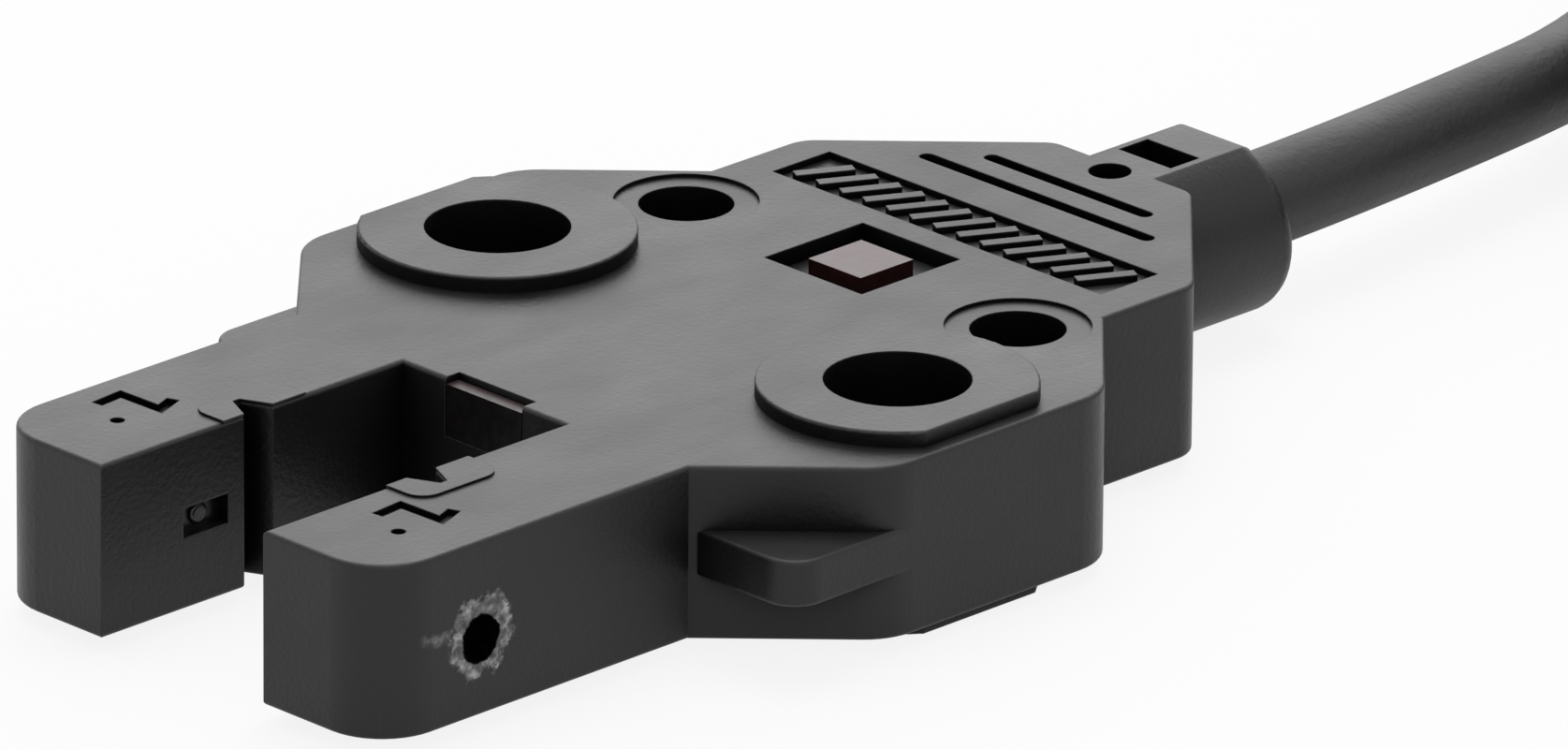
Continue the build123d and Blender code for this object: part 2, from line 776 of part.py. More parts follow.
across = way_out.rotate(Axis.Z, 90)
floor_z = core_d / 2 + wire_lift
tip_routes = []
for name, radius, corner in zip(wire_names, wire_end_radii, core_corners):
    start = sheath_end + across * (corner[0] * core_spread) + Vector(0, 0, corner[1] * core_spread)
    free = start + way_out * wire_straight
    free_r, free_angle = coil_polar(free)
    step_angle = degrees(wire_step / radius)
    fall_steps = wire_fall_steps[corner[1]]
    route = [start, free]
    for step in range(1, wire_steps + 1):
        moved = min(step / wire_move_steps, 1)
        fallen = min(step / fall_steps, 1)
        step_r = free_r + (radius - free_r) * moved
        step_z = free.Z + (floor_z - free.Z) * fallen
        route.append(Vector(*coil_spot(step_r, free_angle - step * step_angle, step_z)))
    with BuildPart() as wire_end:
        wire(route, core_d)
    wire_end.part.label = name + "_wire_end"
    export_step(wire_end.part, "parts/" + name + "_wire_end.step")
    last_way = (route[-1] - route[-2]).normalized()
    tip_angle = free_angle - wire_steps * step_angle - degrees(tin_length / radius)
    bend_angle = tip_angle + degrees((tin_length - tin_straight) / 2 / radius)
    tip_routes.append(
        [
            route[-1],
            route[-1] + last_way * tin_straight,
            coil_spot(radius, bend_angle, floor_z),
            coil_spot(radius, tip_angle, floor_z),
        ]
    )

with BuildPart() as tinned_ends:
    for route in tip_routes:
        wire(route, tin_d)

tinned_ends.part.label = "tinned_ends"
export_step(tinned_ends.part, "parts/tinned_ends.step")
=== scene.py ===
"""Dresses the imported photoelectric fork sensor: its plastics, optics, electronics, wound cable and stage.

Everything is in metres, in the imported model's own frame: the origin is midway between the mounting holes, on
the plane of the lower bosses, +Z points up along the holes and +Y along the cable.
"""

import math
import bmesh
import bpy
import numpy as np
from mathutils import Matrix, Vector


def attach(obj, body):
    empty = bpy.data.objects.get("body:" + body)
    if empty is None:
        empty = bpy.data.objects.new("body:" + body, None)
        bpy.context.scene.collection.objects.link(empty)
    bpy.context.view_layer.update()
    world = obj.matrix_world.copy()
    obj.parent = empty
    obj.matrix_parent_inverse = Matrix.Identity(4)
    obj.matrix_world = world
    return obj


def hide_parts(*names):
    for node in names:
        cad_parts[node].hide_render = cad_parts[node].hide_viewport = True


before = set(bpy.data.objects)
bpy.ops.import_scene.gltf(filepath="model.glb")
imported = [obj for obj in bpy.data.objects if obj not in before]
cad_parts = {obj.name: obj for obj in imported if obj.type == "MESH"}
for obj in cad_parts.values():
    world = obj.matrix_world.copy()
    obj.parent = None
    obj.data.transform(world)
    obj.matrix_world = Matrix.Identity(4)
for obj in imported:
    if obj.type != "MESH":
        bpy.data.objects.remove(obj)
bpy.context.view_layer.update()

bl_info = {
    "name": "Fork sensor dresser",
    "version": (1, 0, 0),
    "blender": (4, 5, 0),
    "location": "3D View > Sidebar > Fork sensor",
    "description": "Gives a packed photoelectric fork sensor its finishes, its wound cable and a stage",
    "category": "Object",
}

MM = 0.001
BODY = "root"

# The cable's route from inside the outlet to its coil, in millimetres. Its start and the line of its
# last run are the solids' own. The points between lie up to half a millimetre aside, where the
# photograph has the cable.
CABLE_ROUTE = (
    (0, 11.6, 2.325),
    (0, 17.2, 2.325),
    (-0.4, 23.8, 2.325),
    (-1.4, 29.6, 2.1),
    (-3.92, 33.98, 1.793),
    (-5.06, 36.74, 1.629),
)
WIRE_COLOURS = {
    "brown": (0.16, 0.06, 0.025),
    "black": (0.02, 0.02, 0.02),
    "blue": (0.03, 0.11, 0.38),
    "pink": (0.72, 0.3, 0.36),
}

# Camera's sensor in millimetres, and its nearest and farthest distance
SENSOR_WIDTH = 36
CLIP_NEAR = 0.01
CLIP_FAR = 10

# Lamps: name, direction from the aim, distance, size and power in watts
LAMPS = (
    ("back lamp", (-0.8, 0.75, 0.62), 0.6, (0.7, 0.4), 1.35),
    ("top lamp", (-0.15, 0.15, 1.0), 0.7, (0.4, 0.4), 1.8),
    ("front lamp", (0.9, -0.5, 0.55), 0.8, (0.5, 0.5), 0.45),
)
FLOOR_HALF = 1.2
FLOOR_POINTS = 3
WHITE = (1, 1, 1, 1)

# Meshes: points nearer than this are one point, edges sharper than this stay sharp, points in each
# rounded corner
MERGE_DISTANCE = 1e-7
SHARP_ANGLE = math.radians(35)
CORNER_POINTS = 9

# Cord: rounding of its section, steps between two control points, and the spline's order
CORD_ROUNDING = 6
CORD_STEPS = 6
QUADRATIC = 3

# Strap of the tie, from one rim to the other and back along its inner face: place across it, height of
# its rims and where its toothed channel lies, as shares of half the width and of the thickness
STRAP_ACROSS = (-1, -1, -0.93, -0.76, -0.7, 0, 0.7, 0.76, 0.93, 1, 1, 0.93, -0.93)
STRAP_RIMS = (0.25, 0.75, 1, 1, 0, 0, 0, 1, 1, 0.75, 0.25, 0, 0)
STRAP_CHANNEL = (0, 0, 0, 0, 1, 1, 1, 0, 0, 0, 0, 0, 0)
CHANNEL_HEIGHT = 0.5
TOOTH_HEIGHT = 0.35
TOOTH_STEEPNESS = 1.5
STRAP_POINTS = 320
STRAP_TEETH = 62

# Head of the tie: its rings from the seat outwards, as shares of its depth and of its outline, the
# points and the corner radius of the outline, and how far the seat is sunk into the strap
HEAD_RINGS = (
    (0.0, 0.0),
    (0.0, 1.0),
    (0.8, 1.0),
    (0.93, 0.95),
    (1.0, 0.84),
    (1.0, 0.56),
    (0.72, 0.5),
    (0.72, 0.0),
)
HEAD_POINTS = 40
HEAD_CORNER = 0.0003
HEAD_SUNK = 0.00002

# Tail of the tie: steps along it, its width as a share of the strap's, where it leaves the head as a
# share of the head's depth, and how fast it bows outwards per metre. Then the finish of the whole tie.
TAIL_STEPS = 28
TAIL_SHARE = 0.8
TAIL_LEAVES = 0.35
TAIL_BOW = 30
TIE_ROUGHNESS = 0.42
TIE_SPECKS = 0.0003

# Noises: features per metre, detail and roughness. The three bands are the middle values of a noise that
# a ramp spreads out.
NOISES = {
    "blotches": (180, 4.0, 0.55),
    "streaks": (900, 3.0, 0.6),
    "torn lip": (1900, 3.0, 0.65),
    "rubbed ring": (2600, 4.0, 0.7),
    "rubbed patches": (3300, 2.0, 0.5),
    "skin": (5200, 3.0, 0.6),
    "smudges": (260, 4.0, 0.6),
    "frost": (4200, 3.0, 0.6),
}
NARROW = (0.35, 0.65)
LOPSIDED = (0.35, 0.7)
WIDE = (0.3, 0.7)

# Moulded plastic: its reflectance, then shares of its own colour for blotches, dust, the painted shade
# in creases, the painted shade in the pit and the painted shade of the dark matt inner corners, how far a
# crease and a corner reach, the upward part of the normal on top and on upright faces, and how uneven its
# gloss and its grain are
PLASTIC_SPECULAR = 0.39
BLOTCH_SHADES = (0.8, 1.3)
DUST_SHADE = 4.2
DUST_BAND = (0.42, 0.66)
CREASE_PAINTED_SHADE = 0.2
PIT_PAINTED_SHADE = 0.1
MATT_PAINTED_SHADE = 0.3
CREASE_REACH = 0.0012
CORNER_REACH = 0.0035
CORNER_BAND = (0.93, 0.4)
CORNER_PAINTED_SHADE = 0.85
FACES_UP = (0.7, 0.95)
UPRIGHT = (0.75, 0.45)
STREAK_STRETCH = (1, 0.35, 1)
BLOTCH_GLOSS = 0.06
STREAK_GLOSS = 0.025
RUBBED_GLOSS = 0.3
GRAIN_NOISE = (2.0, 0.6)
GRAIN_BUMP = 0.16
GRAIN_DEPTH = 0.5

# Rubbed edges: the edge's radius times this is the reach that tells an outer edge from an inner corner,
# by how open it is; the wear grows between two cosines of the turn of the rounded normal, and fades to
# this share between its patches. Then the rays that measure how open a point is and its rounded normal.
EDGE_REACH = 2.5
OUTER_EDGE = (0.7, 0.9)
WEAR_COSINES = (0.995, 0.75)
PATCH_WEAKEST = 0.3
OPENNESS_SAMPLES = 8
EDGE_SAMPLES = 4

# Scuff round the pit in the arm's side, and the painted shade in the pit: depths under the outer face
# that belong to the face and to the pit, how far the torn lip at the painted shade's edge wanders, how
# uneven and how far above the pit the ring is, the smear beside it, and the patches and grains that break
# both up
FACE_DEPTHS = (0.00004, 0.00001)
PIT_DEPTHS = (0.0012, 0.0011)
LIP_BAND = (0.36, 0.64)
LIP_WANDERS = (0.00002, -0.00007)
LIP_SHARES = (1.06, 0.98)
RING_UNEVEN = 0.0002
RING_RISE = 0.00006
RING_SHARES = (0.86, 0.85)
RING_WEAKEST = 0.4
SMEAR_PLACE = (0, -0.00125, 0.0003)
SMEAR_STRETCH = (0, 1, 2.8)
SMEAR_REACH = (0.00055, 0.0001)
SMEAR_STRENGTH = 0.55
PATCH_BAND = (0.4, 0.6)
GRAIN_BAND = (0.36, 0.6)
GRAIN_WEAKEST = 0.35

# Small pieces: contrast of their specks, how uneven their gloss is, and their relief
SPECK_NOISE = (3.0, 0.6)
SPECK_SHARE = 0.12
SPECK_GLOSS = (-0.04, 0.05)
SPECK_BUMP = 0.15
SPECK_DEPTH = 0.3

# Sheath: shares of its colour for its smudges, its roughness, and its relief and how deep that is
SHEATH_SHADES = (0.86, 1.2)
SHEATH_ROUGHNESS = (0.46, 0.58)
SHEATH_BUMP = (0.4, 0.00006)

# Light guide: its reflectance, its roughness, its relief and how deep that is, the upward part of the
# normal that parts painted light on its tops from painted shade on its sides, and where its post begins along
# Y.
# Then the colours of the grains on the post's top as painted light and on its sides as painted shade, and the
# colours of the strip's sides as painted shade and of its top as painted light.
GUIDE_SPECULAR = 0.35
GUIDE_ROUGHNESS = (0.3, 0.42)
GUIDE_BUMP = (0.1, 0.00005)
GUIDE_UP = (0.6, 0.9)
POST_EDGE = (0.0035, 0.004)
GUIDE_TOP_PAINTED_LIGHT = ((0.085, 0.055, 0.058), (0.125, 0.082, 0.086))
GUIDE_SIDES_PAINTED_SHADE = ((0.012, 0.0014, 0.0014), (0.022, 0.0026, 0.0026))
GUIDE_STRIP_SHADE_AND_LIGHT = ((0.0022, 0.0012, 0.0012), (0.035, 0.02, 0.021))

# Plain finishes: nodes, material's name, colour, roughness, size of its specks, and its coat or metal
OPTICS_FINISHES = (
    (("emitter_window", "receiver_window"), "window plastic", (0.006, 0.005, 0.0055), 0.3, 0.0004, {}),
    (("emitter_package",), "emitter epoxy", (0.5, 0.56, 0.66), 0.15, 0.0004, {"coat": 0.5}),
    (("receiver_package",), "receiver epoxy", (0.03, 0.025, 0.035), 0.2, 0.0004, {"coat": 0.5}),
    (("indicator_led",), "indicator epoxy", (0.85, 0.4, 0.3), 0.25, 0.0003, {"coat": 0.3}),
)
BOARD_FINISHES = (
    (("circuit_board",), "solder mask", (0.02, 0.13, 0.05), 0.35, 0.0003, {"coat": 0.3}),
    (("control_chip", "output_transistor"), "chip epoxy", (0.03, 0.03, 0.032), 0.55, 0.0001, {}),
    (("chip_resistors",), "resistor glaze", (0.05, 0.05, 0.055), 0.3, 0.0001, {}),
    (("chip_capacitors",), "capacitor ceramic", (0.45, 0.33, 0.21), 0.5, 0.0001, {}),
    (("solder_joints",), "solder", (0.66, 0.66, 0.65), 0.28, 0.0002, {"metallic": 1.0}),
    (("cable_crimp",), "crimp metal", (0.68, 0.5, 0.24), 0.35, 0.0002, {"metallic": 1.0}),
    (
        ("emitter_leads", "receiver_leads"),
        "tinned leads",
        (0.68, 0.67, 0.64),
        0.3,
        0.0002,
        {"metallic": 1.0},
    ),
)
WIRE_FINISHES = (
    *(
        ((colour + "_core", colour + "_wire_end"), colour + " insulation", tone, 0.4, 0.0002, {})
        for colour, tone in WIRE_COLOURS.items()
    ),
    (("tinned_ends",), "tinned copper", (0.7, 0.68, 0.63), 0.32, 0.0001, {"metallic": 1.0}),
)


class HousingSettings(bpy.types.PropertyGroup):
    """Finish of the moulded housing."""

    plastic: bpy.props.FloatVectorProperty(
        name="Plastic",
        description="Colour of the moulded plastic",
        subtype="COLOR",
        size=3,
        default=(0.0065, 0.0065, 0.0067),
    )
    worn: bpy.props.FloatVectorProperty(
        name="Worn plastic",
        description="Colour of the plastic where its edges are rubbed",
        subtype="COLOR",
        size=3,
        default=(0.035, 0.035, 0.036),
    )
    scuffed: bpy.props.FloatVectorProperty(
        name="Scuffed plastic",
        description="Colour of the rubbed plastic round the pit on the arm",
        subtype="COLOR",
        size=3,
        default=(0.46, 0.46, 0.47),
    )
    roughness: bpy.props.FloatProperty(
        name="Roughness",
        description="Roughness of the moulded plastic",
        default=0.4,
        subtype="FACTOR",
        min=0,
        max=1,
    )
    grain_size: bpy.props.FloatProperty(
        name="Grain size",
        description="Distance between the grains of the moulded surface",
        default=0.00014,
        unit="LENGTH",
    )
    edge_radius: bpy.props.FloatProperty(
        name="Edge radius",
        description="Radius over which a moulded edge catches the light",
        default=0.00006,
        unit="LENGTH",
    )
    pit_place: bpy.props.FloatVectorProperty(
        name="Pit",
        description="Place of the pit on the outer face of the arm",
        subtype="TRANSLATION",
        size=3,
        default=(0.00605, -0.01217, 0.002105),
    )
    pit_radius: bpy.props.FloatProperty(
        name="Pit radius",
        description="Radius of the pit on the arm",
        default=0.0005,
        unit="LENGTH",
    )
    scuff_radius: bpy.props.FloatProperty(
        name="Scuff radius",
        description="Outer radius of the rubbed ring round the pit",
        default=0.00096,
        unit="LENGTH",
    )


class CableSettings(bpy.types.PropertyGroup):
    """Sizes and colour of the sheathed cable and of its coil."""

    diameter: bpy.props.FloatProperty(
        name="Diameter",
        description="Outer diameter of the cable's sheath",
        default=0.0022,
        unit="LENGTH",
    )
    length: bpy.props.FloatProperty(
        name="Length",
        description="Length of the sheathed cable",
        default=0.94,
        unit="LENGTH",
    )
    outlet: bpy.props.FloatVectorProperty(
        name="Outlet",
        description="Where the cable leaves the housing",
        subtype="TRANSLATION",
        size=3,
        default=(0, 0.01636, 0.002325),
    )
    coil_radius: bpy.props.FloatProperty(
        name="Coil radius",
        description="Radius of the coil at the middle of its turns",
        default=0.0131,
        unit="LENGTH",
    )
    columns: bpy.props.IntProperty(
        name="Columns",
        description="Turns side by side in the coil",
        default=4,
    )
    rows: bpy.props.IntProperty(
        name="Rows",
        description="Turns on top of each other in the coil",
        default=3,
    )
    turn_points: bpy.props.IntProperty(
        name="Points per turn",
        description="Control points in each turn of the coil",
        default=16,
    )
    lead_in: bpy.props.FloatProperty(
        name="Lead in",
        description="Straight cable between the route's end and the coil's first turn",
        default=0.00412,
        unit="LENGTH",
    )
    lead_out: bpy.props.FloatProperty(
        name="Lead out",
        description="Straight cable between the coil's last turn and the sheath's end",
        default=0.006,
        unit="LENGTH",
    )
    lead_out_turn: bpy.props.FloatProperty(
        name="Lead out turn",
        description="Turn inwards where the cable leaves the coil's last turn",
        default=math.radians(42),
        subtype="ANGLE",
    )
    lead_out_angle: bpy.props.FloatProperty(
        name="Lead out angle",
        description="Place round the coil where the cable leaves its last turn",
        default=math.radians(200),
        subtype="ANGLE",
    )
    sheath: bpy.props.FloatVectorProperty(
        name="Sheath",
        description="Colour of the cable's sheath",
        subtype="COLOR",
        size=3,
        default=(0.014, 0.0125, 0.013),
    )


class TieSettings(bpy.types.PropertyGroup):
    """Sizes and colour of the tie round the coil."""

    angle: bpy.props.FloatProperty(
        name="Angle",
        description="Place round the coil where the tie sits",
        default=math.radians(-60),
        subtype="ANGLE",
    )
    width: bpy.props.FloatProperty(
        name="Width",
        description="Width of the strap",
        default=0.002,
        unit="LENGTH",
    )
    thickness: bpy.props.FloatProperty(
        name="Thickness",
        description="Thickness of the strap",
        default=0.00025,
        unit="LENGTH",
    )
    slack: bpy.props.FloatProperty(
        name="Slack",
        description="Gap between the turns and the strap beside them",
        default=0.0001,
        unit="LENGTH",
    )
    tooth: bpy.props.FloatProperty(
        name="Tooth",
        description="Distance between the strap's teeth",
        default=0.0005,
        unit="LENGTH",
    )
    head: bpy.props.FloatVectorProperty(
        name="Head",
        description="Size of the head: across the strap, along it and out from it",
        subtype="XYZ_LENGTH",
        size=3,
        default=(0.0024, 0.0016, 0.001),
    )
    tail: bpy.props.FloatProperty(
        name="Tail",
        description="Length of the cut tail beyond the head",
        default=0.0013,
        unit="LENGTH",
    )
    nylon: bpy.props.FloatVectorProperty(
        name="Nylon",
        description="Colour of the tie",
        subtype="COLOR",
        size=3,
        default=(0.016, 0.016, 0.0165),
    )


class StageSettings(bpy.types.PropertyGroup):
    """Camera, floor and lamps."""

    azimuth: bpy.props.FloatProperty(
        name="Azimuth",
        description="Camera's angle round the object, from -Y towards +X",
        default=math.radians(45.369),
        subtype="ANGLE",
    )
    elevation: bpy.props.FloatProperty(
        name="Elevation",
        description="Camera's angle above the floor",
        default=math.radians(21.684),
        subtype="ANGLE",
    )
    roll: bpy.props.FloatProperty(
        name="Roll",
        description="Camera's turn about its own axis",
        default=math.radians(0.436),
        subtype="ANGLE",
    )
    aim: bpy.props.FloatVectorProperty(
        name="Aim",
        description="Point that the camera looks at",
        subtype="TRANSLATION",
        size=3,
        default=(0.001656, 0.001038, 0.003169),
    )
    distance: bpy.props.FloatProperty(
        name="Distance",
        description="Camera's distance from its aim",
        default=0.48794,
        unit="LENGTH",
    )
    lens: bpy.props.FloatProperty(
        name="Lens",
        description="Focal length in millimetres, for a sensor 36 mm wide",
        default=521.89,
    )
    floor: bpy.props.FloatVectorProperty(
        name="Floor",
        description="Colour of the floor",
        subtype="COLOR",
        size=3,
        default=(0.94, 0.94, 0.94),
    )
    floor_seen: bpy.props.FloatProperty(
        name="Floor seen",
        description="Share of pure white in the floor that the camera sees",
        default=0.87,
        subtype="FACTOR",
        min=0,
        max=1,
    )
    floor_in_gloss: bpy.props.FloatProperty(
        name="Floor in gloss",
        description="Share of pure white in the floor that glossy and clear faces show",
        default=0.6,
        subtype="FACTOR",
        min=0,
        max=1,
    )
    world: bpy.props.FloatProperty(
        name="World",
        description="Strength of the even light from all round",
        default=0.46,
    )


# Material kit


def new_material(name):
    """An empty node material and its tree."""
    material = bpy.data.materials.new(name)
    material.use_nodes = True
    tree = material.node_tree
    tree.nodes.clear()
    return material, tree


def node(tree, kind, **values):
    """A shader node with its properties set, and its sockets by name or by number, as in_Scale or in_1."""
    made = tree.nodes.new(kind)
    for name, value in values.items():
        if name.startswith("in_"):
            key = name[3:]
            made.inputs[int(key) if key.isdigit() else key.replace("_", " ")].default_value = value
        else:
            setattr(made, name, value)
    return made


def link(tree, source, target):
    """Joins an output to an input, each given as (node, socket name or index)."""
    tree.links.new(source[0].outputs[source[1]], target[0].inputs[target[1]])


def rgba(colour):
    """A colour with full opacity."""
    return (*colour[:3], 1.0)


def shaded(colour, share):
    """A colour times a share."""
    return [c * share for c in colour]


def mixed(tree, factor, first, second):
    """A colour mix: factor is a (node, socket), first and second are colours or (node, socket)."""
    made = node(tree, "ShaderNodeMix", data_type="RGBA")
    link(tree, factor, (made, 0))
    for index, value in ((6, first), (7, second)):
        if hasattr(value[0], "outputs"):
            link(tree, value, (made, index))
        else:
            made.inputs[index].default_value = rgba(value)
    return made, 2


def ramp(tree, source, low, high, start=0.0, end=1.0):
    """Maps a value from low..high to start..end and keeps it inside."""
    made = node(tree, "ShaderNodeMapRange", in_1=low, in_2=high, in_3=start, in_4=end)
    link(tree, source, (made, 0))
    return made, 0


def noise(tree, coords, scale, detail, rough):
    """Fractal noise on the given coordinates."""
    made = node(tree, "ShaderNodeTexNoise", in_Scale=scale, in_Detail=detail, in_Roughness=rough)
    link(tree, coords, (made, "Vector"))
    return made, 0


def object_coords(tree):
    """The piece's own coordinates, in metres."""
    return node(tree, "ShaderNodeTexCoord"), "Object"


def along_axis(tree, vector, axis):
    """One coordinate of a vector that is given as (node, socket)."""
    made = node(tree, "ShaderNodeSeparateXYZ")
    link(tree, vector, (made, 0))
    return made, axis


def upward_part(tree):
    """How far a face points up: the Z of its normal."""
    return along_axis(tree, (node(tree, "ShaderNodeNewGeometry"), "True Normal"), 2)


def combined(tree, operation, first, second):
    """A sum, product or other two-value operation; each value is a number or a (node, socket)."""
    made = node(tree, "ShaderNodeMath", operation=operation)
    for index, value in ((0, first), (1, second)):
        if isinstance(value, (int, float)):
            made.inputs[index].default_value = value
        else:
            link(tree, value, (made, index))
    return made, 0


def bump(tree, height, strength, distance, normal=None):
    """Surface relief from a height."""
    made = node(tree, "ShaderNodeBump", in_Strength=strength, in_Distance=distance)
    link(tree, height, (made, "Height"))
    if normal:
        link(tree, normal, (made, "Normal"))
    return made, 0


def blended(tree, factor, first, second):
    """A blend of two shader nodes by a (node, socket)."""
    mix = node(tree, "ShaderNodeMixShader")
    for index, source in enumerate((factor, (first, 0), (second, 0))):
        link(tree, source, (mix, index))
    return mix


def finish_shader(tree, shader):
    """Puts the shader into the material's output."""
    out = node(tree, "ShaderNodeOutputMaterial")
    link(tree, (shader, 0), (out, "Surface"))


def openness(tree, reach, alone=False):
    """1 on open faces, less in creases and narrow recesses: how much lies free within a reach of the point.

    With alone, only the piece's own faces count.
    """
    made = node(tree, "ShaderNodeAmbientOcclusion", samples=OPENNESS_SAMPLES, only_local=alone)
    made.inputs["Distance"].default_value = reach
    return made, "AO"


def edge_mask(tree, radius):
    """1 on sharp outer edges and 0 elsewhere, and the normal with those edges rounded over a radius.

    The mask is how far the rounded normal turns from the flat one. Inner corners keep their flat normal.
    """
    rounded = node(tree, "ShaderNodeBevel", samples=EDGE_SAMPLES, in_Radius=radius)
    flat = node(tree, "ShaderNodeNewGeometry")
    outer = ramp(tree, openness(tree, radius * EDGE_REACH), *OUTER_EDGE)
    normal = node(tree, "ShaderNodeMix", data_type="VECTOR")
    link(tree, outer, (normal, 0))
    link(tree, (flat, "Normal"), (normal, 4))
    link(tree, (rounded, 0), (normal, 5))
    dot = node(tree, "ShaderNodeVectorMath", operation="DOT_PRODUCT")
    link(tree, (normal, 1), (dot, 0))
    link(tree, (flat, "True Normal"), (dot, 1))
    return ramp(tree, (dot, "Value"), *WEAR_COSINES), (normal, 1)


def vector_math(tree, operation, first, second=(0, 0, 0)):
    """A vector operation on a (node, socket) and a constant vector."""
    made = node(tree, "ShaderNodeVectorMath", operation=operation, in_1=second)
    link(tree, first, (made, 0))
    return made, "Value" if operation == "LENGTH" else "Vector"


def scuff_masks(tree, coords, housing, fine):
    """Rubbed plastic round the side pit, and the painted shade in the pit out to its torn lip.

    Both are distances in the plane of the arm's outer face, made uneven by noise: the ring lies between the
    lip and the scuff's radius, and a smear is an ellipse beside it, towards the arm's end.
    """
    pit = Vector(housing.pit_place)
    across = along_axis(tree, coords, 0)
    on_face = ramp(tree, across, *(pit.x - depth for depth in FACE_DEPTHS))
    on_arm = ramp(tree, across, *(pit.x - depth for depth in PIT_DEPTHS))
    from_pit = vector_math(tree, "SUBTRACT", coords, pit)
    in_plane = vector_math(tree, "MULTIPLY", from_pit, (0, 1, 1))
    distance = vector_math(tree, "LENGTH", in_plane)

    # The torn lip: the edge of the painted shade in the pit wanders outwards from the pit's own edge
    torn = ramp(tree, noise(tree, coords, *NOISES["torn lip"]), *LIP_BAND, *LIP_WANDERS)
    lip = combined(tree, "ADD", distance, torn)
    pit_shade = ramp(tree, lip, *(housing.pit_radius * share for share in LIP_SHARES))

    # The ring, a little above the pit and strongest at its rim, and its smear
    uneven = ramp(tree, noise(tree, coords, *NOISES["rubbed ring"]), *WIDE, -RING_UNEVEN, RING_UNEVEN)
    from_ring = vector_math(tree, "SUBTRACT", in_plane, (0, 0, RING_RISE))
    away = combined(tree, "ADD", vector_math(tree, "LENGTH", from_ring), uneven)
    ring_edge, ring_rim = (housing.scuff_radius * share for share in RING_SHARES)
    ring = ramp(tree, away, housing.scuff_radius, ring_edge)
    towards_rim = ramp(tree, away, housing.pit_radius, ring_rim, RING_WEAKEST, 1.0)
    ring = combined(tree, "MULTIPLY", ring, towards_rim)
    from_smear = vector_math(tree, "SUBTRACT", coords, pit + Vector(SMEAR_PLACE))
    stretched = vector_math(tree, "MULTIPLY", from_smear, SMEAR_STRETCH)
    near_smear = combined(tree, "ADD", vector_math(tree, "LENGTH", stretched), uneven)
    smear = ramp(tree, near_smear, *SMEAR_REACH, 0.0, SMEAR_STRENGTH)
    rubbed = combined(tree, "MAXIMUM", ring, smear)
    patches = ramp(tree, noise(tree, coords, *NOISES["rubbed patches"]), *PATCH_BAND, PATCH_WEAKEST, 1.0)
    for share in (patches, ramp(tree, fine, *GRAIN_BAND, GRAIN_WEAKEST, 1.0), on_face):
        rubbed = combined(tree, "MULTIPLY", rubbed, share)
    bare = combined(tree, "SUBTRACT", 1.0, pit_shade)
    return combined(tree, "MULTIPLY", rubbed, bare), combined(tree, "MULTIPLY", pit_shade, on_arm)


def moulded_plastic(name, housing, shade=1.0, rougher=0.0, scuffed=False):
    """Moulded plastic: fine spark-eroded grain, soft blotches of colour and gloss, and rubbed edges.

    Creases and recesses get a darker colour, which is painted shade, upright faces in inner corners swap
    their gloss for a dark matt finish, also painted shade, and what dust there is lies on the faces that point
    up.
    """
    material, tree = new_material(name)
    coords = object_coords(tree)
    shader = node(tree, "ShaderNodeBsdfPrincipled")
    shader.inputs["Specular IOR Level"].default_value = PLASTIC_SPECULAR
    colour = shaded(housing.plastic, shade)
    edges, rounded = edge_mask(tree, housing.edge_radius)
    blotches = noise(tree, coords, *NOISES["blotches"])
    streaks_at = vector_math(tree, "MULTIPLY", coords, STREAK_STRETCH)
    streaks = noise(tree, streaks_at, *NOISES["streaks"])
    fine = noise(tree, coords, 1 / housing.grain_size, *GRAIN_NOISE)
    dark, pale = (shaded(colour, share) for share in BLOTCH_SHADES)
    blotched = mixed(tree, ramp(tree, blotches, *LOPSIDED), dark, pale)
    up = upward_part(tree)
    settled = combined(tree, "MULTIPLY", ramp(tree, up, *FACES_UP), ramp(tree, blotches, *DUST_BAND))
    dusty = mixed(tree, settled, blotched, shaded(colour, DUST_SHADE))
    # Painted shade: a darker colour in creases and recesses, by how open they are
    crease_shaded_tone = mixed(tree, openness(tree, CREASE_REACH), shaded(colour, CREASE_PAINTED_SHADE), dusty)
    patchy_edges = combined(tree, "MULTIPLY", edges, ramp(tree, fine, *NARROW, PATCH_WEAKEST, 1.0))
    tone = mixed(tree, patchy_edges, crease_shaded_tone, housing.worn)
    blotchy_gloss = ramp(tree, blotches, *WIDE, -BLOTCH_GLOSS, BLOTCH_GLOSS)
    gloss = combined(tree, "ADD", blotchy_gloss, housing.roughness + rougher)
    gloss = combined(tree, "ADD", gloss, ramp(tree, streaks, *WIDE, -STREAK_GLOSS, STREAK_GLOSS))
    # Painted shade: upright faces in inner corners lose their gloss to a dark matt finish, by how open they
    # are
    upright = ramp(tree, up, *UPRIGHT)
    inner = ramp(tree, openness(tree, CORNER_REACH, True), *CORNER_BAND, 0.0, CORNER_PAINTED_SHADE)
    painted_matt_shade = combined(tree, "MULTIPLY", upright, inner)
    if scuffed:
        # Painted shade in the pit: a darker colour and the dark matt finish in place of its gloss
        rubbed, pit_shade = scuff_masks(tree, coords, housing, fine)
        painted_matt_shade = combined(tree, "MAXIMUM", painted_matt_shade, pit_shade)
        tone = mixed(tree, rubbed, mixed(tree, pit_shade, tone, shaded(colour, PIT_PAINTED_SHADE)), housing.scuffed)
        gloss = combined(tree, "ADD", gloss, combined(tree, "MULTIPLY", rubbed, RUBBED_GLOSS))
    link(tree, tone, (shader, "Base Color"))
    link(tree, gloss, (shader, "Roughness"))
    relief = bump(tree, fine, GRAIN_BUMP, housing.grain_size * GRAIN_DEPTH, rounded)
    link(tree, relief, (shader, "Normal"))
    # The dark matt finish that carries the painted shade of inner corners and of the pit
    matt = node(tree, "ShaderNodeBsdfDiffuse", in_Color=rgba(shaded(colour, MATT_PAINTED_SHADE)))
    finish_shader(tree, blended(tree, painted_matt_shade, shader, matt))
    return material


